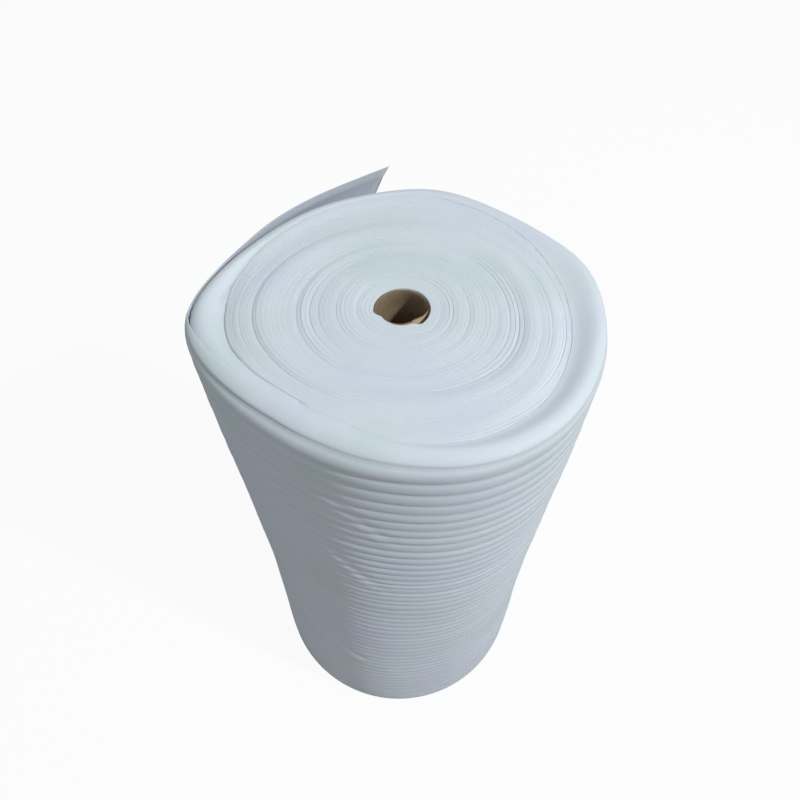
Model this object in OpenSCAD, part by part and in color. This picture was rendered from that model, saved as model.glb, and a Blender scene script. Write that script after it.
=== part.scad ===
// Roll of white closed-cell foam sheet on a cardboard tube, standing on its end.
// The origin is on the tube's axis at floor level, with +Z up.
// The sheet winds outwards clockwise, seen from above, and its free end stands off behind the roll.

/* [Foam sheet] */
// Width of the sheet, which is the height of the standing roll
sheet_w = 1000; // [600:10:1300]
// Thickness of one layer of the sheet
sheet_t = 5; // [4.5:0.5:8]

/* [Roll] */
// Mean radius of the roll at its upper end
roll_r = 262; // [220:1:300]
// Radius of the roll at its foot, where it is nearly round
foot_r = 265; // [220:1:300]
// Depth of the waist between the two ends
waist = 7; // [0:0.5:15]
// Height of the narrowest part of the waist
waist_z = 400; // [250:10:550]
// Radius of the soft shoulder round the upper end
shoulder = 14; // [8:1:20]
// Radius of the edge round the foot
foot_edge = 7; // [4:1:12]

/* [Ridges round the side] */
// Distance from one ridge to the next
ridge_pitch = 23; // [20:1:40]
// Height of a ridge near the top, over the hollows beside it
ridge_top = 2.4; // [0:0.2:4]
// Height of a ridge near the foot
ridge_foot = 0.8; // [0:0.2:3]

/* [Turns on the upper end] */
// Number of turns of the sheet from one drawn gap to the next
turns_per_gap = 2; // [2:1:4]
// Width of the gap between turns
gap_w = 1.6; // [0.8:0.2:2]
// Depth of the gap between turns
gap_d = 6; // [2:1:12]
// Extra width of the gap where one outer turn lies loose
loose_w = 5; // [0:0.5:5]
// Distance of that loose turn from the edge of the roll
loose_in = 36; // [25:1:60]
// Width of the firm rim outside the last gap
rim_w = 10; // [6:1:20]

/* [Free end of the sheet] */
// Angle that the free end covers, from where it peels off at the left corner
tail_sweep = 83; // [40:1:100]
// Gap between the roll and the free end at its tip
tail_lift = 50; // [10:1:60]
// Gap just after the free end peels off
tail_gap = 4; // [2:0.5:6]
// Length of the pulled-out corner at the top of the tip
corner_len = 32; // [0:1:60]
// Drop of that corner
corner_drop = 32; // [20:1:60]

/* [Cardboard tube] */
// Bore of the tube
core_bore = 70; // [50:1:90]
// Wall of the tube
core_wall = 3; // [2:0.5:6]
// Depth of the tube's upper end below the top of the roll
core_recess = 5; // [2:1:15]
// Widening of the radius in the worn mouth at the tube's upper end
mouth_wear = 0.4; // [0.2:0.1:0.8]
// Clearance between the tube and the first turn of foam
core_fit = 0.2; // [0.1:0.05:0.5]

/* [Torn ply in the tube] */
// Thickness of the torn inner ply
ply_t = 0.8; // [0.5:0.1:1.2]
// Height of the tear, down from the tube's upper end
tear_h = 26; // [10:1:40]
// Lean of the torn ply into the bore at its widest
tear_lean = 11; // [4:1:16]

/* [Hidden] */

// Corners and flats of the upper outline: angle from +X, and radius over or under roll_r
OUTLINE = [
    [0, 14], [20, 19], [36, -1], [52, -7], [64, -4], [76, 4], [90, -4], [102, -12],
    [138, -11], [154, -4], [168, 14], [181, 33], [198, 13], [210, -3], [225, -18],
    [245, -23], [270, -17], [294, -1], [315, 9], [340, 11], [360, 14]
];
OUTLINE_ROUNDING = 8;
// Points round the roll, along the free end, along one turn's gap and along the torn ply
ROLL_POINTS = 28;
TAIL_POINTS = 6;
TURN_STEPS = 23;
PLY_POINTS = 16;
// Facets of the tube, and how far a cut goes past the solid it cuts
TUBE_FACETS = 96;
OVER = 1;
// Rings round the foot's edge: height and how far it is drawn in, as shares of foot_edge
FOOT_RINGS = [[0, 0.8], [0.4, 0.25]];
// Angles of the rings round the shoulder
SHOULDER_RINGS = [30, 60, 90];
// The free end opens to tail_gap over one part in this many of its length
TAIL_OPENS = 4;
// The power with which it curls away towards its tip
TAIL_CURL = 4;

// Where the sheet leaves the roll, and where the gap behind it opens
peel_angle = 186;
crotch_angle = 177;
roll_sweep = 360 - (peel_angle - crotch_angle);
// Angle where the gap between turns begins and ends
gap_angle_0 = 172;
// Angles of the loose turn and of the tear, and half the angle that each covers
loose_angle = -20;
loose_half = 75;
tear_angle = -86;
tear_half = 82;
// Angle over which the torn ply comes away from the wall at either end of the tear
tear_run = 34;

core_r = core_bore / 2 + core_wall;
seat_r = core_r + core_fit;
core_h = sheet_w - core_recess;
mouth_h = tear_h + 2 * ply_t;
ply_root = core_wall / 3;
tail_arc = tail_sweep / 360 * 2 * PI * roll_r;
ridge_count = round((sheet_w - shoulder - foot_edge) / ridge_pitch);
ridge_step = (sheet_w - shoulder - foot_edge) / ridge_count / 2;

function blend(a, b, t) = a + (b - a) * t;
function smooth(t) = let (c = min(1, max(0, t))) c * c * (3 - 2 * c);
function bump(distance, half) = abs(distance) < half ? (1 + cos(180 * distance / half)) / 2 : 0;
function wrap(a) = a - 360 * floor(a / 360);
function polar(r, a, z) = [r * cos(a), r * sin(a), z];

// Radius of the upper outline, with its corners rounded
function outline_r(a) =
    let (s = OUTLINE_ROUNDING)
    roll_r + (lookup(wrap(a - s), OUTLINE) + lookup(wrap(a), OUTLINE) + lookup(wrap(a + s), OUTLINE)) / 3;

// The waist narrows the side to nothing at either end
function waist_in(z) =
    let (half = z < waist_z ? waist_z : sheet_w - waist_z)
    waist * bump(z - waist_z, half);

// Radius of the outermost turn, from a round foot to the cornered top
function turn_r(a, z) = blend(foot_r, outline_r(a), smooth(z / sheet_w)) - waist_in(z);

// Height of the ridges over the hollows, at a height on the side
function ridge_h(z) = blend(ridge_foot, ridge_top, z / sheet_w);

// Rings of the side: height, how far the edge is drawn in, and the ridge's part of the radius
function levels() = concat(
    [for (f = FOOT_RINGS) [foot_edge * f[0], foot_edge * f[1], 0]],
    [for (i = [0 : 2 * ridge_count])
        let (z = foot_edge + i * ridge_step)
        [z, 0, (i % 2 - 0.5) * ridge_h(z)]],
    [for (a = SHOULDER_RINGS) [sheet_w - shoulder * (1 - sin(a)), shoulder * (1 - cos(a)), 0]]
);

// Distance along the free end, from 0 at its root to 1 at its tip, where it ends at a height
function tail_end(z) = 1 - corner_len / tail_arc * min(1, (sheet_w - z) / corner_drop);

// The roll's surface, one layer lower where the free end has left it
function roll_point(k, level) =
    let (a = crotch_angle - k * roll_sweep / ROLL_POINTS)
    let (layer = sheet_t * (1 - k / ROLL_POINTS))
    polar(turn_r(a, level[0]) - layer + level[2] - level[1], a, level[0]);

// A point of the free end, on its outer face where side is 1 and on its inner face where it is 0
function tail_point(j, side, level) =
    let (s = tail_end(level[0]) * j / TAIL_POINTS)
    let (a = crotch_angle - tail_sweep * s)
    let (lift = tail_gap * min(1, TAIL_OPENS * s) + (tail_lift - tail_gap) * pow(s, TAIL_CURL))
    let (root = turn_r(a, level[0]) - sheet_t + level[2] * (1 - s))
    polar(root + lift + side * sheet_t, a, level[0]);

// One ring: round the roll from behind the free end, out along its outer face and back along its inner
function ring(level) = concat(
    [for (k = [0 : ROLL_POINTS]) roll_point(k, level)],
    [for (j = [1 : TAIL_POINTS]) tail_point(j, 1, level)],
    [for (j = [TAIL_POINTS : -1 : 1]) tail_point(j, 0, level)]
);

module wound_sheet() {
    rows = levels();
    last = len(rows) - 1;
    n = ROLL_POINTS + 1 + 2 * TAIL_POINTS;
    foot_centre = len(rows) * n;
    top_centre = foot_centre + 1;
    points = concat(
        [for (level = rows) each ring(level)],
        [[0, 0, 0], [0, 0, sheet_w]]
    );
    side = [for (i = [0 : last - 1], k = [0 : n - 1])
        let (a = i * n + k, b = i * n + (k + 1) % n)
        each [[a, a + n, b + n], [a, b + n, b]]];
    // Each end is a fan over the roll and a strip along the free end
    fan = [for (k = [0 : ROLL_POINTS]) [k, (k + 1) % (ROLL_POINTS + 1)]];
    strip = [for (j = [0 : TAIL_POINTS - 1])
        let (near = ROLL_POINTS + j, back = (n - j) % n)
        each [[near, near + 1, n - 1 - j], [near, n - 1 - j, back]]];
    foot = concat(
        [for (f = fan) [foot_centre, f[0], f[1]]],
        [for (f = strip) f]
    );
    top = concat(
        [for (f = fan) [top_centre, last * n + f[1], last * n + f[0]]],
        [for (f = strip) [last * n + f[0], last * n + f[2], last * n + f[1]]]
    );
    polyhedron(points, concat(side, foot, top), convexity = 10);
}

// Radius of the gap between turns, round at the tube and cornered at the edge
gap_start = seat_r + sheet_t * turns_per_gap;
gap_end = roll_r - shoulder - rim_w;
gap_turns = floor((gap_end - gap_start) / (sheet_t * turns_per_gap));
gap_pitch = (gap_end - gap_start) / gap_turns;
loose_part = (gap_angle_0 - loose_angle) / 360;
loose_turn = round(gap_turns - loose_in / gap_pitch - loose_part) + loose_part;

function gap_angle(t) = gap_angle_0 - 360 * t;
function gap_r(t) =
    let (corners = outline_r(gap_angle(t)) / roll_r - 1)
    (gap_start + t * gap_pitch) * (1 + corners * pow(t / gap_turns, 2));
function gap_half(t) = (gap_w + loose_w * bump(360 * (t - loose_turn), loose_half)) / 2;

module turn_gaps() {
    steps = gap_turns * TURN_STEPS;
    inner = [for (i = [0 : steps])
        let (t = i / TURN_STEPS, r = gap_r(t) - gap_half(t))
        [r * cos(gap_angle(t)), r * sin(gap_angle(t))]];
    outer = [for (i = [steps : -1 : 0])
        let (t = i / TURN_STEPS, r = gap_r(t) + gap_half(t))
        [r * cos(gap_angle(t)), r * sin(gap_angle(t))]];
    translate([0, 0, sheet_w - gap_d])
        linear_extrude(gap_d + OVER)
            polygon(concat(inner, outer));
}

module foam_roll() {
    color([0.86, 0.91, 0.95])
        difference() {
            wound_sheet();
            turn_gaps();
            translate([0, 0, -OVER])
                cylinder(h = sheet_w + 2 * OVER, r = seat_r, $fn = TUBE_FACETS);
        }
}

// The inner ply leans into the bore along the tear, and stays rooted in the wall
module torn_ply() {
    root_r = core_bore / 2 + ply_root;
    root_z = core_h - tear_h;
    points = [for (i = [0 : PLY_POINTS])
        let (off = blend(-tear_half, tear_half, i / PLY_POINTS))
        let (a = tear_angle + off)
        let (lean = tear_lean * smooth((tear_half - abs(off)) / tear_run) + ply_root)
        each [
            polar(root_r, a, root_z),
            polar(root_r - lean, a, core_h),
            polar(root_r - lean - ply_t, a, core_h - ply_t),
            polar(root_r - ply_t, a, root_z - ply_t)
        ]];
    sides = [for (i = [0 : PLY_POINTS - 1], k = [0 : 3])
        let (a = 4 * i + k, b = 4 * i + (k + 1) % 4)
        each [[a, b, b + 4], [a, b + 4, a + 4]]];
    end = 4 * PLY_POINTS;
    polyhedron(points, concat(sides, [[0, 3, 2, 1], [end, end + 1, end + 2, end + 3]]), convexity = 4);
}

module core_tube() {
    color([0.62, 0.5, 0.36])
        union() {
            difference() {
                cylinder(h = core_h, r = core_r, $fn = TUBE_FACETS);
                translate([0, 0, -OVER])
                    cylinder(h = core_h + 2 * OVER, d = core_bore, $fn = TUBE_FACETS);
                translate([0, 0, core_h - mouth_h])
                    cylinder(h = mouth_h + OVER, d = core_bore + 2 * mouth_wear, $fn = TUBE_FACETS);
            }
            torn_ply();
        }
}

foam_roll();
core_tube();
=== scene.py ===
import math

import bmesh
import bpy
import numpy as np
from mathutils import Matrix, Vector


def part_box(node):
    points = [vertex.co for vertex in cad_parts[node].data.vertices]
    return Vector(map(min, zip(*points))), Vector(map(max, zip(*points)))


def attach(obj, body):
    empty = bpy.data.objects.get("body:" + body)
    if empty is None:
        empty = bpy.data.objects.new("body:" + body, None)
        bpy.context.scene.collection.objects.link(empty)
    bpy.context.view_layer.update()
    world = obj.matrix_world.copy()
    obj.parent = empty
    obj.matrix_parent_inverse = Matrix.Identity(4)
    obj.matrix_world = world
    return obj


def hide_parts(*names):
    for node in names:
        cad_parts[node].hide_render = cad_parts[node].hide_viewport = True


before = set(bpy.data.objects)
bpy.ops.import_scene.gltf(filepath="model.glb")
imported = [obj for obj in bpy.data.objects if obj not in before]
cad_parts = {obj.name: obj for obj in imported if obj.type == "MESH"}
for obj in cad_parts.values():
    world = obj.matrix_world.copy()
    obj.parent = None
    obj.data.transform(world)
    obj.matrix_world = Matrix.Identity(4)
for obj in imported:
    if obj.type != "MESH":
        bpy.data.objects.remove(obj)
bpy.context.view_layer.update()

# Sizes are in millimetres and angles in degrees, and MM turns them to metres at the end.
MM = 0.001
foam_low, foam_high = (np.array(corner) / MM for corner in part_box("foam_roll"))
tube_low, tube_high = (np.array(corner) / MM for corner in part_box("core_tube"))

# The roll, as in the part's source
SHEET_W = foam_high[2]
SHEET_T = 5.0
ROLL_R = 262.0
FOOT_R = 265.0
WAIST = 7.0
WAIST_Z = 400.0
SHOULDER = 17.0
FOOT_EDGE = 7.0
CORE_R = (tube_high[0] - tube_low[0]) / 2
CORE_WALL = 3.0
CORE_BORE_R = CORE_R - CORE_WALL
CORE_TOP = tube_high[2]
SEAT_R = CORE_R + 0.3
CROTCH = 177.0
TAIL_SWEEP = 83.0
TAIL_LIFT = 50.0
TAIL_GAP = 4.0
CORNER_LEN = 36.0
CORNER_DROP = 64.0
TAIL_ARC = math.radians(TAIL_SWEEP) * ROLL_R

# Corners and flats of the upper outline: angle from +X, and radius over or under ROLL_R
OUTLINE = np.array([
    [0, 14], [20, 19], [36, -1], [52, -7], [64, -4], [76, 4], [90, -4], [102, -12],
    [138, -11], [154, -4], [168, 14], [181, 33], [198, 13], [210, -3], [225, -18],
    [245, -23], [270, -17], [294, -1], [315, 9], [340, 11], [360, 14],
], float)
OUTLINE_ROUNDING = 11.0

# Radius of the soft shoulder, which is widest at the front left
SHOULDERS = np.array([
    [0, 17], [180, 17], [195, 21], [210, 29], [228, 34], [245, 34], [262, 30], [280, 26],
    [300, 20], [320, 17], [360, 17],
], float)

# The turns next to the tube lean over its mouth at the front
MOUTH_LEAN = 8.0
MOUTH_AT = -108.0
MOUTH_HALF = 64.0
MOUTH_FADE = 22.0

# The winding
TURNS = 45
FOAM_T = 4.7
TOUCH_GAP = 0.02
INNER_STEPS = 100
INNER_LEVELS = (250.0, 500.0, 750.0)
OUTER_STEPS = 170
TAIL_STEPS = 40
TAIL_TURNS = TAIL_SWEEP / 360
OUTER_START = TURNS - 1.2
TAIL_T = 2.8
TAIL_CHAMFER = 2.5
TAIL_REST = 0.7
TAIL_DROP = 15.0
TAIL_BELLY = 9.0

# The fold line on the side: its angle at the foot and at the top
FOLD_LOW = 258
FOLD_HIGH = 246

# Radii of four windings at the upper end, every 30 degrees from +X, and how many turns lie inside each
RING_ANGLES = list(range(0, 361, 30))
RING_RADII = [
    [87, 87, 84, 83, 83, 86, 88, 86, 84, 83, 86, 90],
    [136, 134, 130, 127, 129, 138, 145, 139, 130, 125, 131, 142],
    [178, 174, 166, 163, 166, 181, 198, 180, 162, 159, 168, 188],
    [241, 234, 226, 229, 220, 228, 258, 228, 212, 218, 228, 239],
]
RING_TURNS = [0, 9, 18.5, 25.8, 38.4, TURNS]
RING_ROUNDING = (-14, -5, 5, 14)

# Ridges round the side: heights of the hollows on the upper half, the pitch below them, the height of a
# ridge at the top and at the foot, and the points across one ridge
RIDGE_HOLLOWS = [
    988, 959, 932, 905, 881, 857, 834, 813, 791, 767, 745, 723, 703, 682, 661, 645, 630, 610, 594,
]
RIDGE_PITCH = 19.5
RIDGE_TOP = 3.2
RIDGE_FOOT = 1.4
RIDGE_SAMPLES = 7

# The camera that was fitted to the photograph, with its focal length in pixels of an 800 pixel frame
FRAME_PX = 800
FOCAL_PX = 700.0
CAMERA_AT = Vector((-0.0016, -0.6426, 1.6768))
CAMERA_PITCH = 54.11
CAMERA_ROLL = 0.47


def blend(a, b, t):
    return a + (b - a) * t


def smooth(t):
    t = np.clip(t, 0, 1)
    return t * t * (3 - 2 * t)


def bump(distance, half):
    return np.where(np.abs(distance) < half, (1 + np.cos(np.pi * distance / half)) / 2, 0)


def turned(a, b):
    """Signed angle from b to a, between -180 and 180."""
    return (a - b + 180) % 360 - 180


def waves(seed, count, lowest, highest):
    """A smooth wandering function of one number, between about -1 and 1."""
    rng = np.random.default_rng(seed)
    rates = rng.uniform(lowest, highest, count)
    phases = rng.uniform(0, 2 * np.pi, count)

    def at(x):
        total = sum(np.sin(2 * np.pi * rate * x + phase) for rate, phase in zip(rates, phases))
        return total / math.sqrt(count) / 1.3

    return at


def outline_r(a):
    """Radius of the upper outline at an angle, with its corners rounded."""
    offsets = np.linspace(-1, 1, 9) * OUTLINE_ROUNDING
    weights = np.cos(np.linspace(-1, 1, 9) * 1.3)
    rows = [np.interp((a + off) % 360, OUTLINE[:, 0], OUTLINE[:, 1]) * weight
            for off, weight in zip(offsets, weights)]
    return ROLL_R + sum(rows) / weights.sum()


def waist_in(z):
    half = np.where(z < WAIST_Z, WAIST_Z, SHEET_W - WAIST_Z)
    return WAIST * bump(z - WAIST_Z, half)


def side_form(a, z):
    """Soft corner and flats that the side shows below the top: a fold line left of the front."""
    low = smooth((0.9 * SHEET_W - z) / (0.5 * SHEET_W)) * smooth(z / 60)
    fold_at = blend(FOLD_LOW, FOLD_HIGH, smooth(z / SHEET_W))
    fold = 2.2 * bump(turned(a, fold_at), 26) - 2.4 * bump(turned(a, fold_at - 26), 24)
    right = 1.6 * bump(turned(a, 300), 24)
    return low * (fold + right)


def turn_r(a, z):
    """Radius of the outermost turn, from a round foot to the cornered top."""
    return blend(FOOT_R, outline_r(a), smooth(z / SHEET_W)) - waist_in(z) + side_form(a, z)


def shoulder_r(a):
    return np.interp(a % 360, SHOULDERS[:, 0], SHOULDERS[:, 1])


def shoulder_in(z, wide):
    """How far the shoulder is drawn in at a height."""
    over = np.clip(z - SHEET_W + wide, 0, wide)
    return wide - np.sqrt(wide ** 2 - over ** 2)


def winding_angle(w):
    """Angle of the sheet after w turns: it winds clockwise and leaves the roll at the crotch."""
    return CROTCH - 360 * (w - TURNS)


def top_layer_r(w, a):
    """Radius at the upper end of the sheet's outer face after w turns, drawn out to left and right."""
    rings = [SEAT_R + 0 * a]
    for row in RING_RADII:
        radii = [np.interp((a + off) % 360, RING_ANGLES, row + row[:1]) for off in RING_ROUNDING]
        rings.append(sum(radii) / len(RING_ROUNDING))
    rings.append(outline_r(a))
    turns = np.array(RING_TURNS, float)
    k = np.clip(np.searchsorted(turns, w, side="right") - 1, 0, len(turns) - 2)
    share = (w - turns[k]) / (turns[k + 1] - turns[k])
    rings = np.broadcast_to(np.stack(rings), (len(turns),) + np.broadcast(w, a).shape)
    low = np.take_along_axis(rings, np.broadcast_to(k, rings.shape[1:])[None], 0)[0]
    high = np.take_along_axis(rings, np.broadcast_to(k + 1, rings.shape[1:])[None], 0)[0]
    return blend(low, high, share)


def layer_r(w, z):
    """Outer face of the sheet after w turns: round at the foot, and as photographed at the upper end."""
    a = winding_angle(w)
    share = w / TURNS
    round_r = blend(SEAT_R, FOOT_R, share)
    side = (side_form(a, z) - waist_in(z)) * share ** 2
    return blend(round_r, top_layer_r(w, a), smooth(z / SHEET_W)) + side


def new_mesh(name, grid, closed_ends=True):
    """A closed tube of quads: grid is stations x points of a closed section x 3, in millimetres."""
    stations, n = grid.shape[:2]
    vertices = grid.reshape(-1, 3) * MM
    i, k = np.meshgrid(np.arange(stations - 1), np.arange(n), indexing="ij")
    a, b = i * n + k, i * n + (k + 1) % n
    faces = np.stack([a, b, b + n, a + n], -1).reshape(-1, 4).tolist()
    if closed_ends:
        faces.append(list(range(n - 1, -1, -1)))
        faces.append([(stations - 1) * n + j for j in range(n)])
    mesh = bpy.data.meshes.new(name)
    mesh.from_pydata(vertices.tolist(), [], faces)
    mesh.validate()
    mesh.shade_smooth()
    piece = bpy.data.objects.new(name, mesh)
    bpy.context.collection.objects.link(piece)
    return piece


def face_outwards(piece):
    """Flips a mesh whose faces turned out inside out."""
    mesh = piece.data
    mesh.calc_loop_triangles()
    co = np.empty(len(mesh.vertices) * 3)
    mesh.vertices.foreach_get("co", co)
    co = co.reshape(-1, 3)
    tri = np.empty(len(mesh.loop_triangles) * 3, int)
    mesh.loop_triangles.foreach_get("vertices", tri)
    p, q, s = (co[tri.reshape(-1, 3)[:, j]] for j in range(3))
    if np.einsum("ij,ij->", p, np.cross(q, s)) < 0:
        mesh.flip_normals()


# Relief of the upper end

LIP_T = SHEET_T
LIP_END_T = 2.4
LIP_FALL = 1.0
TRENCH_FALL = 7.0
TRENCH_AT = -22.0
TRENCH_HALF = 84.0
CORNER_FALL = 8.0
CORNER_AT = 182.0
CORNER_HALF = 44.0

# Width of the rolled edge in turns, by angle
LIP_TURNS = np.array([
    [0, 9.6], [22, 9], [45, 7], [75, 5], [130, 5], [155, 6.5], [180, 9], [200, 9], [225, 11], [245, 11],
    [270, 8], [294, 7], [315, 7.7], [338, 9.4], [360, 9.6],
], float)

# Along the last part of the outermost turn the rolled edge thins out and tapers off to LIP_CUT, and the edge
# of the turn under it, which lies LIP_STEP lower, takes over. The other values are lengths in turns.
LIP_THINS = 0.20
LIP_TAPERS = 0.13
LIP_STUB = 0.05
LIP_CLOSES = 0.012
LIP_UNDER = 0.17
LIP_OPENS = 0.02
LIP_RISES = 0.06
LIP_CUT = 3.0
LIP_STEP = 2.6

# Turns over which the upper end falls to the rim of the rolled edge
LIP_RUN = 5.0

# Bands of turns that lie higher or lower: turns from the tube, and drop below the lip
BANDS = np.array([
    [0, 4.2], [1.5, 3.4], [5, 2.3], [8, 2.0], [11, 2.1], [14, 3.3], [15, 3.3], [17.2, 2.3],
    [19, 3.3], [20.3, 3.2], [24, 0.9], [25, 0.9], [28.5, 3.0], [31.5, 3.6], [35, 3.4], [39, 2.6],
], float)

# Creases between turns: turn, middle angle and half the angle covered, depth, half width and opening
CREASES_UP = [
    (36.6, -54, 24, 1.2, 4.0, 0.4),
    (33.4, -8, 56, 1.0, 6.0, 0.3),
    (29.5, 8, 50, 0.5, 5.0, 0.1),
    (26.6, -25, 60, 0.6, 6.0, 0.1),
    (22.6, -18, 62, 0.9, 6.0, 0.35),
    (21.4, -22, 84, 1.2, 7.0, 0.45),
    (19.5, 12, 60, 0.5, 5.0, 0.1),
    (16.5, -10, 62, 0.8, 8.0, 0.05),
    (9.3, -10, 70, 0.9, 7.0, 0.3),
    (5.4, -25, 80, 0.5, 6.0, 0.05),
    (2.8, -20, 90, 0.5, 6.0, 0.1),
    (36.0, 190, 9, 1.6, 5.0, 0.2),
    (33.0, 184, 46, 0.4, 5.0, 0.1),
    (31.0, 180, 50, 0.4, 5.0, 0.1),
    (27.2, 186, 96, 1.0, 8.0, 0.3),
    (18.2, 178, 84, 1.3, 7.0, 0.1),
    (14.6, 192, 60, 0.5, 6.0, 0.2),
    (13.3, 188, 50, 0.4, 6.0, 0.1),
    (9.0, 176, 70, 0.4, 6.0, 0.1),
    (4.2, 180, 86, 0.8, 5.0, 0.15),
    (27.0, 52, 16, 0.8, 7.0, 0.05),
]

neighbour_waves = waves(3, 6, 0.23, 2.3)
gap_waves = waves(11, 5, 0.3, 1.7)
band_waves = waves(19, 4, 0.05, 0.16)


def lip_turns(a):
    return np.interp(a % 360, LIP_TURNS[:, 0], LIP_TURNS[:, 1])


def lip_share(w):
    """How far the sheet is rolled over after w turns: for the last turn, and from a little before it."""
    return smooth(np.minimum((w - TURNS + 1 + LIP_UNDER) / LIP_OPENS, (TURNS - w) / LIP_CLOSES))


def lip_left(w):
    """How much of the rolled edge's width is left after w turns."""
    return np.clip((TURNS - LIP_CLOSES - w) / (LIP_TAPERS - LIP_CLOSES), 0, 1)


def lip_fall(a):
    """How far the rolled edge falls to its inner rim, deepest beside the channel at the lower right."""
    trench = TRENCH_FALL * bump(turned(a, TRENCH_AT), TRENCH_HALF)
    return LIP_FALL + trench + CORNER_FALL * bump(turned(a, CORNER_AT), CORNER_HALF)


def covered(w, layer, a):
    """1 under the rolled edge, and 1 where a second rolled edge lies under the first."""
    outermost = w + np.ceil(TURNS - 1 - w)
    width = lip_turns(a) - 1
    second_share = lip_share(outermost - 1)
    first = smooth((layer - outermost + 1 + width * lip_share(outermost) * lip_left(outermost)) / 0.3)
    second = smooth((layer - outermost + 2 + width * second_share) / 0.3) * (second_share > 0)
    return np.maximum(first, second), second


def crease_layer(turn, middle, a):
    """Where a crease lies at an angle, in turns from the tube, so that it follows the spiral."""
    part = (CROTCH - middle) / 360 % 1
    return np.round(turn - part) + part - turned(a, middle) / 360


def upper_drop(layer, a):
    """How far the upper end lies below the lip, at a place counted in turns from the tube."""
    offsets = np.linspace(-1, 1, 5) * 0.9
    drop = sum(np.interp(layer + off, BANDS[:, 0], BANDS[:, 1]) for off in offsets) / 5
    drop = drop * (1 + 0.25 * np.cos(np.radians(turned(a, 150)))) + 0.35 * band_waves(layer + a / 150)
    for turn, middle, half, depth, width, _ in CREASES_UP:
        across = (layer - crease_layer(turn, middle, a)) * SHEET_T
        drop = drop + depth * bump(turned(a, middle), half) * bump(across, width)
    rim = TURNS - 1 + (CROTCH - a) / 360 % 1 - lip_turns(a)
    near_lip = smooth((rim - layer) / LIP_RUN)
    return blend(lip_fall(a) + 0.1, np.maximum(drop, 0.5), near_lip)


def opening(w, a):
    """Width of the gap outside the sheet after w turns."""
    at_sides = bump(turned(a, 184), 75) + 0.6 * bump(turned(a, -6), 75)
    gap = TOUCH_GAP + (0.01 + 0.06 * at_sides) * np.clip(gap_waves(w) - 0.3, 0, 1)
    for turn, middle, half, _, _, width in CREASES_UP:
        near = np.abs(w - crease_layer(turn, middle, a)) < 0.5
        gap = gap + near * width * bump(turned(a, middle), half)
    return gap


def under_lip(inset, lip, a):
    """How far the turns under the rolled edge lie below its top: more at the shoulder than at its rim."""
    wide = shoulder_r(a)
    across = np.clip(inset, LIP_T + 0.5, wide)
    arc = wide - np.sqrt(np.maximum((wide - LIP_T) ** 2 - (wide - across) ** 2, 0))
    below = blend(LIP_T + 0.5, lip_fall(a) + 1.2, np.clip((inset - wide - 1) / (lip - wide - 1.8), 0, 1))
    return np.where(inset < wide, arc + 1.2, below + 0.6)


def foot_height(w):
    """Height of the sheet's lower edge over the floor."""
    return 1.1 + 0.7 * neighbour_waves(w + 0.37)


def edge_drop(w, share):
    """How far the sheet's upper edge lies below the lip after w turns, across its thickness."""
    a = winding_angle(w)
    radius = blend(top_layer_r(w - 1, a), top_layer_r(w, a), share)
    layer = w - 1 + share
    free = upper_drop(layer, a) + 0.06 * neighbour_waves(w)
    under, second = covered(w, layer, a)
    outermost = w + np.ceil(TURNS - 1 - w)
    face = top_layer_r(outermost, a)
    lip = face - top_layer_r(outermost - lip_turns(a), a)
    hidden = under_lip(face - radius, lip, a) + LIP_STEP * second
    return blend(free, np.maximum(hidden, free), under)


def mouth_overhang(a):
    """The innermost turns lean over the tube's mouth at the front."""
    return MOUTH_LEAN * smooth((MOUTH_HALF - np.abs(turned(a, MOUTH_AT))) / MOUTH_FADE)


def build_inner_turns():
    """The sheet from the tube to the turn under the outermost, as one band swept along its spiral."""
    w = np.arange(int(round(OUTER_START * INNER_STEPS)) + 1) / INNER_STEPS
    a = winding_angle(w)
    gap = opening(w, a)
    foot = foot_height(w)
    lean = mouth_overhang(a) * np.clip(1 - w / 5, 0, 1)
    lean_inside = mouth_overhang(a) * np.clip(1 - np.maximum(w - 1, 0) / 5, 0, 1)

    def point(share, z, at_z, pulled=0, leaning=0):
        below = np.where(w >= 1, layer_r(np.maximum(w - 1, 0), at_z), SEAT_R)
        inner = below + TOUCH_GAP - leaning * lean_inside
        outer = layer_r(w, at_z) - TOUCH_GAP - leaning * lean - pulled
        r = inner + share * np.maximum(outer - inner, 0.6)
        return np.stack([r * np.cos(np.radians(a)), r * np.sin(np.radians(a)), z + 0 * r], -1)

    def top(share, corner):
        return SHEET_W - edge_drop(w, share) - corner * (0.03 + 0.5 * np.minimum(gap, 1.5))

    section = [point(0, z, z) for z in INNER_LEVELS]
    section += [point(0, top(0, 0) - 7, SHEET_W)]
    section += [point(0, top(0, 1), SHEET_W, gap, 1)]
    section += [point(s, top(s, 0), SHEET_W, gap, 1) for s in (0.03, 0.3, 0.7, 0.97)]
    section += [point(1, top(1, 1), SHEET_W, gap, 1)]
    section += [point(1, top(1, 0) - 7, SHEET_W, gap)]
    section += [point(1, z, z) for z in INNER_LEVELS[::-1]]
    section += [point(s, foot + rise, 0) for s, rise in ((0.98, 1.2), (0.7, 0), (0.3, 0), (0.02, 1.2))]
    piece = new_mesh("wound_turns", np.stack(section, 1))
    face_outwards(piece)
    return piece


# The outermost turn and the free end

ridge_spacing = waves(31, 4, 0.8, 2.6)


def ridge_lines():
    """Heights of the hollows between ridges, from the foot to under the rim, and one over the top."""
    count = round((RIDGE_HOLLOWS[-1] - FOOT_EDGE) / RIDGE_PITCH)
    low = np.linspace(FOOT_EDGE, RIDGE_HOLLOWS[-1], count + 1)[:-1]
    low[1:] += 3 * ridge_spacing(low[1:] / 100)
    return np.concatenate([low, RIDGE_HOLLOWS[::-1], [SHEET_W + 12]])


# Angles of the side where the ridges are faint below and bold above, and half the angle covered
FAINT_AT = 226
FAINT_HALF = 46
BOLD_AT = 216
BOLD_HALF = 44

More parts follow.
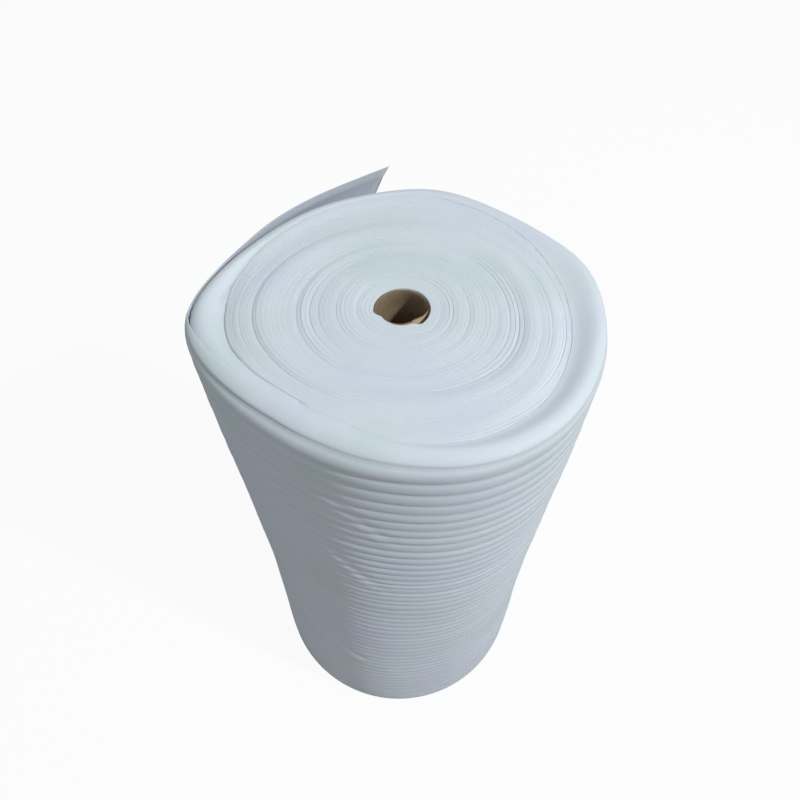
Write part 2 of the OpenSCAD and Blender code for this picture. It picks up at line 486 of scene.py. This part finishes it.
ridge_wander = waves(23, 5, 0.6, 3.2)
ridge_strength = waves(29, 5, 0.5, 2.4)
skin_waves = waves(37, 6, 0.8, 4.5)


def ridge_relief(w, z, lines):
    """Height of the ridges: rounded backs with narrow hollows, faint where the side is smooth."""
    turn_share = w - np.floor(w)
    wander = 1.8 * ridge_wander(w + 0.9 * z / SHEET_W) * smooth((SHEET_W - SHOULDER - z) / 60)
    index = np.interp(z + wander, lines, np.arange(len(lines)))
    across = index - np.floor(index)
    back = 1 - np.abs(2 * across - 1) ** 2.6
    uneven = 1 + 0.35 * ridge_strength(np.floor(index) * 0.618 + 0.7 * turn_share)
    a = winding_angle(w)
    smooth_side = bump(turned(a, FAINT_AT), FAINT_HALF) * smooth((0.72 * SHEET_W - z) / (0.2 * SHEET_W))
    bold_side = bump(turned(a, BOLD_AT), BOLD_HALF) * smooth((z / SHEET_W - 0.7) / 0.15)
    height = blend(RIDGE_FOOT, RIDGE_TOP, np.clip(z / SHEET_W, 0, 1) ** 1.3) * (1 + 0.7 * bold_side)
    return height * np.clip(uneven, 0.3, 1.6) * (1 - 0.85 * smooth_side) * (back - 0.62)


# Soft creases of the side, left of the front: angle and height at each end, depth and half width
CREASES = [
    (221, 345, 256, 262, 2.2, 15),
    (228, 195, 247, 150, 1.6, 12),
    (240, 930, 268, 800, 1.4, 14),
    (214, 905, 262, 640, 1.9, 16),
]


def creases(a, z):
    total = np.zeros_like(a + z)
    for a0, z0, a1, z1, depth, half in CREASES:
        share = turned(a, a0) / (a1 - a0)
        line = blend(z0, z1, share)
        ends = smooth(share * 5 + 0.5) * smooth((1 - share) * 5 + 0.5)
        total -= depth * bump(z - line, half) * ends
        total += 0.5 * depth * bump(z - line + 1.6 * half, half) * ends
    return total


def tail_end(z):
    """The free end is longest at its upper corner."""
    return 1 - CORNER_LEN / TAIL_ARC * np.clip((SHEET_W - z) / CORNER_DROP, 0, 1)


def rolled_crown(lip, cut, fall, wide, thick, start_z):
    """The rolled edge: up the shoulder, along to where it is cut, and back underneath."""
    inner_arc = wide - thick
    start = math.asin((start_z - SHEET_W + wide) / wide)
    end = max(math.acos(max(wide - cut, 0) / wide), start + 0.02)
    level = max(cut - 1.2 - wide, 0)
    along = np.linspace(0, wide * (end - start) + level, 19)
    turn = np.minimum(start + along / wide, end)
    inset = wide * (1 - np.cos(turn)) + np.maximum(along - wide * (end - start), 0)
    drop = wide * (1 - np.sin(turn)) + (fall - 0.1) * smooth((inset - wide) / (lip - 1.2 - wide))
    path = [(x, SHEET_W - y, 1) for x, y in zip(inset, drop)]
    rim, low = max(cut, inset[-1] + 0.3), SHEET_W - drop[-1]
    path += [(rim - 0.2, low - 0.1, 1), (rim, low - 0.4, 0), (rim, low - 0.7, 0)]
    path += [(rim - 0.3, low - 0.9, 0)]
    back = math.acos(min((wide - min(rim - 0.4, wide)) / inner_arc, 1)) if rim < wide else math.radians(75)
    path += [(max(min(wide + 1, rim - 0.5), 0), min(SHEET_W - thick - 0.5, low - 1.0), 0)]
    path += [(wide - inner_arc * math.cos(t), SHEET_W - wide + inner_arc * math.sin(t), 0)
             for t in back * np.array([1, 0.67, 0.33, 0])]
    return path


def outer_section(lip, cut, fall, wide, thick, lines):
    """Two matching paths for the section: rolled over at the top, and straight up as on the free end.
    Each point is its inset from the outer face, its height, and 1 if it is on the outer face."""
    q = np.radians(np.linspace(0, 90, 5))
    foot = [(0.8 * FOOT_EDGE * (1 - math.sin(t)), FOOT_EDGE * (1 - math.cos(t)), 1) for t in q]
    steps = np.arange(1, (len(lines) - 2) * RIDGE_SAMPLES)
    side_z = np.interp(steps / RIDGE_SAMPLES, np.arange(len(lines)), lines)
    inside_z = np.linspace(SHEET_W - 2 * SHOULDER - 2, 2 * FOOT_EDGE, 20)
    inside = [(FOAM_T, z, 0) for z in inside_z]
    end = [(FOAM_T + 0.8 * FOOT_EDGE, 1.0, 0)]
    rolled = rolled_crown(lip, cut, fall, wide, thick, lines[-2])
    rolled_side = [(shoulder_in(z, wide), z, 1) for z in side_z]
    upright_side = [(0, z, 1) for z in side_z]

    top = SHEET_W
    upright = [(0, z, 1) for z in np.linspace(lines[-2], top - 1.4, 16)]
    upright += [(0.25, top - 0.6, 1), (0.9, top - 0.2, 1), (1.6, top, 1)]
    upright += [(FOAM_T / 2, top, 1), (FOAM_T - 1.4, top, 0), (FOAM_T - 0.5, top, 0)]
    upright += [(FOAM_T - 0.2, top - 0.1, 0), (FOAM_T, top - 0.4, 0)]
    upright += [(FOAM_T, z, 0) for z in np.linspace(top - 4, top - SHOULDER, 4)]
    return [np.array(foot + side + crown + inside + end, float)
            for side, crown in ((rolled_side, rolled), (upright_side, upright))]


def outer_sections(w, over, lines):
    """The section of the outermost turn and the free end after each of w turns."""
    wound = np.minimum(w, TURNS)
    a = winding_angle(wound)
    lips = layer_r(wound, SHEET_W) - top_layer_r(wound - lip_turns(a), a) - 0.1
    cuts = blend(LIP_CUT, lips, lip_left(w))
    thicks = blend(LIP_T, LIP_END_T, smooth((w - TURNS + LIP_THINS) / (LIP_THINS - LIP_TAPERS)))
    thicks = blend(thicks, FOAM_T - 0.2, smooth(2 * (w - TURNS + LIP_STUB) / LIP_STUB))
    sizes = np.stack([lips, cuts, lip_fall(a), shoulder_r(a), thicks], 1).tolist()
    stations = []
    for size, share in zip(sizes, over):
        rolled, upright = outer_section(*size, lines)
        stations.append(blend(upright, rolled, float(share)))
    return np.array(stations)


def upper_edge_drop(w, over):
    """The turn comes out from under the end of the rolled edge, and the free end starts below it."""
    second_drop = LIP_STEP * (1 - smooth((w - TURNS + 1) / LIP_RISES))
    under = blend(edge_drop(np.minimum(w, TURNS - 1), 0.5), second_drop, over)
    beside = TAIL_DROP * (1 - over) * (1 - smooth((w - TURNS) / TAIL_TURNS / 0.48))
    return np.where(w < TURNS - 0.5, under, beside)


def tail_lift(past, z):
    """How far the free end stands off the roll. Near its upper edge it leans in over the roll."""
    lift = TAIL_REST * np.minimum(1, 12 * past) + (TAIL_GAP - TAIL_REST) * smooth((past - 0.2) / 0.4)
    lift += (TAIL_LIFT - TAIL_GAP) * past ** 4
    lift += TAIL_BELLY * smooth(past / 0.3) * smooth((SHEET_W - z) / 55) * smooth((z - 450) / 350)
    return lift


def outer_relief(w, here, past, z, lines):
    """Ridges, creases and uneven skin, smooth where the turn and the free end lie against each other."""
    relief = ridge_relief(here, z, lines) + creases(winding_angle(here), z) * (here <= TURNS)
    relief += 0.35 * skin_waves(here + 1.3 * z / SHEET_W)
    relief *= smooth((z - 2) / 25) * (1 - 0.5 * np.clip(past, 0, 1))
    on_turn = 1 - smooth((w - TURNS + 0.86) / 0.08)
    on_tail = (w > TURNS) * (1 - smooth((w - TURNS - 0.1) / 0.05))
    return relief * (1 - 0.9 * np.clip(on_turn + on_tail, 0, 1)[:, None] * smooth((z - SHEET_W + 70) / 30))


def build_outer_turn():
    """The outermost turn with its rolled edge, going on into the free end behind the roll."""
    lines = ridge_lines()
    w = np.concatenate([
        np.linspace(OUTER_START, TURNS, OUTER_STEPS + 1),
        TURNS + TAIL_TURNS * np.linspace(0, 1, TAIL_STEPS + 1)[1:] ** 0.9,
    ])
    over = lip_share(w)
    section = outer_sections(w, over, lines)
    inset, z, on_outer = section[..., 0], section[..., 1], section[..., 2]
    z = z - upper_edge_drop(w, over)[:, None] * smooth((z - SHEET_W + 60) / 40)
    # The free end is thinner, and its cut edge slopes away from the roll
    on_tail = smooth((w - TURNS) / TAIL_TURNS / 0.25)[:, None]
    inset = np.where(inset < FOAM_T + 0.01, inset * blend(1, TAIL_T / FOAM_T, on_tail), inset)
    slope = np.clip(1 - inset / TAIL_T, 0, 1) * smooth((z - SHEET_W + 12) / 10)
    z = z - on_tail * TAIL_CHAMFER * slope
    past = np.maximum(w - TURNS, 0)[:, None] / TAIL_TURNS * tail_end(z)
    here = np.where(w[:, None] <= TURNS, w[:, None] + 0 * z, TURNS + past * TAIL_TURNS)
    a = winding_angle(here)
    relief = outer_relief(w, here, past, z, lines) * np.where(past > 0, 1, on_outer)
    on_roll = layer_r(np.minimum(here, TURNS), z)
    beyond = turn_r(a, z) - turn_r(winding_angle(np.minimum(here, TURNS)), z)
    r = on_roll + beyond + tail_lift(past, z) - inset + relief * smooth((SHEET_W - 1 - z) / 11)
    grid = np.stack([r * np.cos(np.radians(a)), r * np.sin(np.radians(a)), z], -1)
    piece = new_mesh("outer_turn", grid)
    # The inner_face attribute marks where the foam material paints shade on the inner face of the free end
    inner_face = piece.data.attributes.new("inner_face", "FLOAT", "POINT")
    inner_face.data.foreach_set("value", (on_tail * (1 - on_outer)).astype(np.float32).ravel())
    face_outwards(piece)
    return piece


# The cardboard tube

TUBE_STEPS = 180
MOUTH_DROP = 1.5
PLY_T = 0.9
PLY_H = 26.0
PLY_STEPS = 110
PLY_ROWS = 14

# The inner ply that came away round the front of the mouth: angle, lean into the bore, top under the mouth
PLY_SHAPE = np.array([
    [-170, 0.0, 3.0], [-155, 4.0, 3.6], [-130, 9.5, 3.8], [-90, 11.5, 3.6], [-66, 11.5, 2.6],
    [-50, 11.0, 0.6], [-34, 8.0, 0.2], [-18, 3.4, 0.2], [-3, 0.0, 0.8],
], float)

# Notches torn in its upper edge: angle, half the angle covered and depth
PLY_NOTCHES = [(-62, 6, 1.6), (-22, 5, 0.9)]

mouth_waves = waves(41, 7, 1, 9)


def build_tube():
    """The tube's wall, with a soft uneven mouth that lies lower under the turns that lean over it."""
    a = np.linspace(0, 360, TUBE_STEPS, endpoint=False)
    pressed = 3.5 * mouth_overhang(a) / MOUTH_LEAN
    mouth = CORE_TOP - MOUTH_DROP + 0.3 * mouth_waves(np.round(a) / 360) - pressed
    heights = [0.4, 30, 200, 400, 600, 800, CORE_TOP - 60, CORE_TOP - 24, CORE_TOP - 9]
    section = [(CORE_R - 0.05, z + 0 * a) for z in heights]
    section += [(CORE_R - 0.1, mouth - 1.2), (CORE_R - 0.5, mouth - 0.35), (CORE_R - 1.4, mouth)]
    section += [(CORE_BORE_R + 0.9, mouth - 0.1), (CORE_BORE_R + 0.5, mouth - 0.9)]
    section += [(CORE_BORE_R + 0.05 + 0.4 * (z > CORE_TOP - 20), z + 0 * a) for z in heights[::-1]]
    section += [(CORE_BORE_R + 0.6, 0.05 + 0 * a), (CORE_R - 0.6, 0.05 + 0 * a)]
    rings = np.array([[r * np.cos(np.radians(a)), r * np.sin(np.radians(a)), z] for r, z in section])
    grid = np.moveaxis(rings, (0, 1, 2), (1, 2, 0))
    grid = np.concatenate([grid, grid[:1]])
    piece = new_mesh("core_board", grid, closed_ends=False)
    weld(piece)
    face_outwards(piece)
    return piece


def weld(piece):
    """Joins the first and last section of a ring."""
    bm = bmesh.new()
    bm.from_mesh(piece.data)
    bmesh.ops.remove_doubles(bm, verts=bm.verts, dist=1e-6)
    bm.to_mesh(piece.data)
    bm.free()
    piece.data.shade_smooth()


def build_torn_ply():
    """The inner ply round the front of the mouth: rooted low in the wall, leaning into the bore."""
    a = np.linspace(PLY_SHAPE[0, 0], PLY_SHAPE[-1, 0], PLY_STEPS)
    offsets = np.linspace(-1, 1, 5) * 9
    lean, below = (sum(np.interp(a + off, PLY_SHAPE[:, 0], PLY_SHAPE[:, j]) for off in offsets) / 5
                   for j in (1, 2))
    ragged = 0.35 * mouth_waves(a / 60)
    for at, half, depth in PLY_NOTCHES:
        ragged = ragged - depth * bump(a - at, half)
    points = []
    for side, order in ((0, range(PLY_ROWS)), (1, range(PLY_ROWS - 1, -1, -1))):
        for row in order:
            share = row / (PLY_ROWS - 1)
            height = CORE_TOP - PLY_H * (1 - share) - (below - ragged) * share ** 2
            height = np.minimum(height, CORE_TOP - 0.1)
            thick = PLY_T * (1 - 0.4 * share)
            r = CORE_BORE_R + 0.4 - (0.4 + lean) * share ** 1.5 - side * thick
            points.append(np.stack([r * np.cos(np.radians(a)), r * np.sin(np.radians(a)), height], -1))
    piece = new_mesh("torn_ply", np.stack(points, 1))
    face_outwards(piece)
    return piece


# Materials: colours as they look on screen, 0 to 255, and how much lighter or darker each board is painted:
# the tube darker as painted shade in its bore, the torn ply lighter as painted light where the lamp falls on
# it

FOAM_TINTS = ((219, 233, 236), (227, 236, 243), (225, 233, 246))
# Painted shade for the inner face of the free end
INNER_FACE_PAINTED_SHADE = (203, 208, 217)
BOARD_TONES = ((160, 141, 112), (178, 158, 128), (192, 173, 145))
CUT_EDGE = (128, 108, 92)
# Painted shade: the tube's board is darkened so that its bore looks shaded
TUBE_PAINTED_SHADE = 0.86
# Painted light: the torn ply's board is lightened where the key lamp falls on it
PLY_PAINTED_LIGHT = 1.18


def node_material(name):
    material = bpy.data.materials.new(name)
    material.use_nodes = True
    tree = material.node_tree
    shader = tree.nodes["Principled BSDF"]
    return material, tree, shader


def add(tree, kind, values=None, **links):
    """A node with its input values set and its inputs linked by name."""
    node = tree.nodes.new(kind)
    for key, value in (values or {}).items():
        if key in node.inputs:
            node.inputs[key].default_value = value
        else:
            setattr(node, key, value)
    for key, source in links.items():
        tree.links.new(source, node.inputs[key.replace("_", " ")])
    return node


def ramp(tree, source, stops):
    """A colour ramp; each stop is a place and a linear colour."""
    node = tree.nodes.new("ShaderNodeValToRGB")
    tree.links.new(source, node.inputs[0])
    elements = node.color_ramp.elements
    while len(elements) < len(stops):
        elements.new(0.5)
    for element, (place, colour) in zip(elements, stops):
        element.position = place
        element.color = (*colour, 1)
    return node.outputs[0]


def linear(*rgb255):
    """A colour written as it looks on screen, 0 to 255, as linear light."""
    return tuple((c / 255 / 12.92) if c / 255 <= 0.04045 else ((c / 255 + 0.055) / 1.055) ** 2.4
                 for c in rgb255)


def foam_material():
    """White closed-cell foam: soft satin skin, fine cells, a faint blue tint that drifts."""
    material, tree, shader = node_material("foam_white")
    at = tree.nodes.new("ShaderNodeTexCoord").outputs["Object"]
    drift = add(tree, "ShaderNodeTexNoise", {"Scale": 5.0, "Detail": 3.0, "Roughness": 0.5}, Vector=at)
    colour = ramp(tree, drift.outputs["Fac"], [
        (place, linear(*tint)) for place, tint in zip((0.34, 0.50, 0.66), FOAM_TINTS)
    ])
    cells = add(tree, "ShaderNodeTexVoronoi", {"Scale": 520.0, "Randomness": 1.0}, Vector=at)
    speck = ramp(tree, cells.outputs["Distance"], [(0.0, (1.0, 1.0, 1.0)), (0.9, (0.94, 0.95, 0.96))])
    mixed = add(tree, "ShaderNodeMix", {"data_type": "RGBA", "blend_type": "MULTIPLY"})
    mixed.inputs["Factor"].default_value = 0.6
    tree.links.new(colour, mixed.inputs["A"])
    tree.links.new(speck, mixed.inputs["B"])
    # Painted shade: the inner face of the free end, in shade behind the roll, is painted greyer
    inside = add(tree, "ShaderNodeAttribute", {"attribute_name": "inner_face"})
    painted_shade_mix = add(tree, "ShaderNodeMix", {"data_type": "RGBA"})
    tree.links.new(inside.outputs["Fac"], painted_shade_mix.inputs["Factor"])
    tree.links.new(mixed.outputs["Result"], painted_shade_mix.inputs["A"])
    painted_shade_mix.inputs["B"].default_value = (*linear(*INNER_FACE_PAINTED_SHADE), 1)
    tree.links.new(painted_shade_mix.outputs["Result"], shader.inputs["Base Color"])
    rough = add(tree, "ShaderNodeTexNoise", {"Scale": 60.0, "Detail": 4.0}, Vector=at)
    rough_range = add(tree, "ShaderNodeMapRange", {"To Min": 0.5, "To Max": 0.72},
                      Value=rough.outputs["Fac"])
    tree.links.new(rough_range.outputs["Result"], shader.inputs["Roughness"])
    fine = add(tree, "ShaderNodeBump", {"Strength": 0.25, "Distance": 0.0004},
               Height=cells.outputs["Distance"])
    pucker = add(tree, "ShaderNodeTexNoise", {"Scale": 38.0, "Detail": 3.0}, Vector=at)
    soft = add(tree, "ShaderNodeBump", {"Strength": 0.25, "Distance": 0.0012},
               Height=pucker.outputs["Fac"], Normal=fine.outputs["Normal"])
    tree.links.new(soft.outputs["Normal"], shader.inputs["Normal"])
    shader.inputs["Subsurface Weight"].default_value = 0.08
    shader.inputs["Subsurface Radius"].default_value = (0.003, 0.0035, 0.004)
    shader.inputs["Subsurface Scale"].default_value = 1.0
    shader.inputs["Sheen Weight"].default_value = 0.08
    shader.inputs["Sheen Roughness"].default_value = 0.5
    shader.inputs["Specular IOR Level"].default_value = 0.35
    return material


def board_material(name, shade):
    """Brown board: paper fibres stretched on a slant, and mottled tone."""
    material, tree, shader = node_material(name)
    at = tree.nodes.new("ShaderNodeTexCoord").outputs["Object"]
    mottle = add(tree, "ShaderNodeTexNoise", {"Scale": 60.0, "Detail": 6.0, "Roughness": 0.65}, Vector=at)
    # shade lightens or darkens the whole board: painted light on the torn ply, painted shade on the tube
    tone = ramp(tree, mottle.outputs["Fac"], [
        (place, linear(*(c * shade for c in colour)))
        for place, colour in zip((0.3, 0.55, 0.8), BOARD_TONES)
    ])
    stretch = add(tree, "ShaderNodeMapping", {"Scale": (1.0, 1.0, 6.0), "Rotation": (0.5, 0.3, 0.0)},
                  Vector=at)
    fibres = add(tree, "ShaderNodeTexNoise", {"Scale": 420.0, "Detail": 4.0, "Roughness": 0.7},
                 Vector=stretch.outputs["Vector"])
    fibre_tone = ramp(tree, fibres.outputs["Fac"], [(0.3, (0.82, 0.80, 0.78)), (0.6, (1.0, 1.0, 1.0))])
    mixed = add(tree, "ShaderNodeMix", {"data_type": "RGBA", "blend_type": "MULTIPLY"})
    mixed.inputs["Factor"].default_value = 0.7
    tree.links.new(tone, mixed.inputs["A"])
    tree.links.new(fibre_tone, mixed.inputs["B"])
    # Faces that point up, such as the cut edge at the mouth, are made darker and greyer than the walls
    facing = tree.nodes.new("ShaderNodeNewGeometry").outputs["Normal"]
    upward = add(tree, "ShaderNodeSeparateXYZ", Vector=facing).outputs["Z"]
    edge = add(tree, "ShaderNodeMapRange", {"From Min": 0.45, "From Max": 0.9}, Value=upward)
    cut_edge = add(tree, "ShaderNodeMix", {"data_type": "RGBA"})
    tree.links.new(edge.outputs["Result"], cut_edge.inputs["Factor"])
    tree.links.new(mixed.outputs["Result"], cut_edge.inputs["A"])
    cut_edge.inputs["B"].default_value = (*linear(*CUT_EDGE), 1)
    tree.links.new(cut_edge.outputs["Result"], shader.inputs["Base Color"])
    shader.inputs["Roughness"].default_value = 0.85
    bumped = add(tree, "ShaderNodeBump", {"Strength": 0.35, "Distance": 0.0004},
                 Height=fibres.outputs["Fac"])
    tree.links.new(bumped.outputs["Normal"], shader.inputs["Normal"])
    shader.inputs["Specular IOR Level"].default_value = 0.25
    return material


def floor_material():
    """A floor that a camera sees near white, that keeps the object's shadow and lights the object little."""
    material, tree, shader = node_material("floor_white")
    tree.nodes.remove(shader)
    pale = add(tree, "ShaderNodeBsdfDiffuse", {"Color": (0.9, 0.9, 0.9, 1)})
    glow = add(tree, "ShaderNodeEmission", {"Color": (1, 1, 1, 1), "Strength": 1.0})
    seen = tree.nodes.new("ShaderNodeMixShader")
    seen.inputs[0].default_value = FLOOR_GLOW
    tree.links.new(pale.outputs[0], seen.inputs[1])
    tree.links.new(glow.outputs[0], seen.inputs[2])
    bounce = add(tree, "ShaderNodeBsdfDiffuse", {"Color": (0.43, 0.40, 0.41, 1)})
    camera_ray = tree.nodes.new("ShaderNodeLightPath").outputs["Is Camera Ray"]
    mixed = tree.nodes.new("ShaderNodeMixShader")
    tree.links.new(camera_ray, mixed.inputs[0])
    tree.links.new(bounce.outputs[0], mixed.inputs[1])
    tree.links.new(seen.outputs[0], mixed.inputs[2])
    tree.links.new(mixed.outputs[0], tree.nodes["Material Output"].inputs["Surface"])
    return material


# Stage, light and camera

FLOOR_HALF = 8.0
FLOOR_GLOW = 0.93
SKY = 0.355
SKY_COLOUR = (0.93, 0.97, 1.0, 1)
LAMP_AIM = (0, 0, 0.9)
KEY_AZIMUTH = -25.0
KEY_ELEVATION = 44.0
KEY_DISTANCE = 5.0
KEY_SIZE = 0.3
KEY_POWER = 148.0
KEY_COLOUR = (0.98, 1.0, 1.0)
TOP_AT = (-0.2, 0.6, 5.0)
TOP_SIZE = 2.4
TOP_POWER = 12.0
TOP_COLOUR = (0.97, 0.99, 1.0)
SENSOR_MM = 36.0


def build_floor():
    corners = [(x * FLOOR_HALF, y * FLOOR_HALF, 0) for x, y in ((-1, -1), (1, -1), (1, 1), (-1, 1))]
    mesh = bpy.data.meshes.new("floor")
    mesh.from_pydata(corners, [], [(0, 1, 2, 3)])
    floor = bpy.data.objects.new("floor", mesh)
    bpy.context.collection.objects.link(floor)
    mesh.materials.append(floor_material())


def add_lamp(name, place, aim, size, power, colour):
    light = bpy.data.lights.new(name, "AREA")
    light.shape = "DISK"
    light.size = size
    light.energy = power
    light.color = colour
    lamp = bpy.data.objects.new(name, light)
    lamp.location = place
    lamp.rotation_euler = (Vector(aim) - Vector(place)).to_track_quat("-Z", "Y").to_euler()
    bpy.context.collection.objects.link(lamp)


def lamp_at(azimuth, elevation, distance):
    """A place at a distance from the middle of the upper end."""
    az, el = math.radians(azimuth), math.radians(elevation)
    across = distance * math.cos(el)
    return (across * math.cos(az), across * math.sin(az), 1 + distance * math.sin(el))


def build_light():
    """A key lamp at the angle of the shadow inside the tube, a soft lamp above and a pale sky."""
    world = bpy.data.worlds.new("studio")
    bpy.context.scene.world = world
    world.use_nodes = True
    tree = world.node_tree
    around = tree.nodes["Background"]
    around.inputs["Color"].default_value = SKY_COLOUR
    around.inputs["Strength"].default_value = SKY
    white = add(tree, "ShaderNodeBackground", {"Color": (1, 1, 1, 1), "Strength": 1.0})
    path = tree.nodes.new("ShaderNodeLightPath")
    mixed = tree.nodes.new("ShaderNodeMixShader")
    tree.links.new(path.outputs["Is Camera Ray"], mixed.inputs[0])
    tree.links.new(around.outputs[0], mixed.inputs[1])
    tree.links.new(white.outputs[0], mixed.inputs[2])
    tree.links.new(mixed.outputs[0], tree.nodes["World Output"].inputs["Surface"])
    key_at = lamp_at(KEY_AZIMUTH, KEY_ELEVATION, KEY_DISTANCE)
    add_lamp("key", key_at, LAMP_AIM, KEY_SIZE, KEY_POWER, KEY_COLOUR)
    add_lamp("top", TOP_AT, LAMP_AIM, TOP_SIZE, TOP_POWER, TOP_COLOUR)


def build_camera():
    pitch, roll = math.radians(CAMERA_PITCH), math.radians(CAMERA_ROLL)
    forward = Vector((0, math.cos(pitch), -math.sin(pitch)))
    level = Vector((1, 0, 0))
    above = level.cross(forward)
    right = math.cos(roll) * level + math.sin(roll) * above
    up = -math.sin(roll) * level + math.cos(roll) * above
    camera = bpy.data.cameras.new("camera")
    camera.sensor_width = SENSOR_MM
    camera.lens = SENSOR_MM * FOCAL_PX / FRAME_PX
    camera.clip_end = 50
    rig = bpy.data.objects.new("camera", camera)
    turn = Matrix((right, up, -forward)).transposed()
    rig.matrix_world = Matrix.Translation(CAMERA_AT) @ turn.to_4x4()
    bpy.context.collection.objects.link(rig)
    bpy.context.scene.camera = rig


build_camera()
build_floor()
build_light()

foam = foam_material()
inner_turns = build_inner_turns()
outer_turn = build_outer_turn()
for piece in (inner_turns, outer_turn):
    piece.data.materials.append(foam)
    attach(piece, "root")
    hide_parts("foam_roll")

tube = build_tube()
tube.data.materials.append(board_material("kraft_board", TUBE_PAINTED_SHADE))
ply = build_torn_ply()
ply.data.materials.append(board_material("kraft_ply_painted_light", PLY_PAINTED_LIGHT))
for piece in (tube, ply):
    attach(piece, "root")
    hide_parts("core_tube")

bpy.context.scene.view_settings.view_transform = "Standard"
